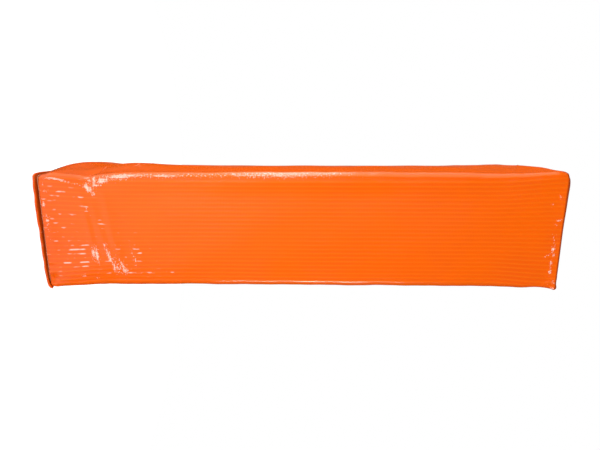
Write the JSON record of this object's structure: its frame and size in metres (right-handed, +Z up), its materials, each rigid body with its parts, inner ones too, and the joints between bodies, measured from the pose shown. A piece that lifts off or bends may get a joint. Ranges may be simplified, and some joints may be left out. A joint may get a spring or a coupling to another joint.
{
  "type": "end zone pylon",
  "caption": "Upright square foam block in a sewn orange vinyl cover, weighted at its base so that it stands by itself as a corner marker on a football field.",
  "frame": {"origin": "centre of the base on the surface that the pylon stands on", "axes": "+Z up along the pylon's long axis, from the base seam to the top; -Y is the face that the picture shows"},
  "size_m": [0.106, 0.106, 0.4572],
  "materials": {
    "orange_vinyl": "ribbed glossy laminated vinyl",
    "cream_foam": "open-cell foam",
    "clear_film": "welded film",
    "dry_sand": "dry sand",
    "pale_thread": "twisted polyester thread"
  },
  "bodies": {
    "root": {"cover_sleeve": "orange_vinyl", "cover_top_panel": "orange_vinyl", "cover_base_panel": "orange_vinyl", "foam_core": "cream_foam", "ballast_bag_lower": "clear_film", "ballast_bag_upper": "clear_film", "ballast_sand": "dry_sand", "base_seam_needle_thread": "pale_thread", "base_seam_bobbin_thread": "pale_thread", "top_seam_needle_thread": "pale_thread", "top_seam_bobbin_thread": "pale_thread", "side_seam_needle_thread": "pale_thread", "side_seam_bobbin_thread": "pale_thread"}
  },
  "joints": []
}
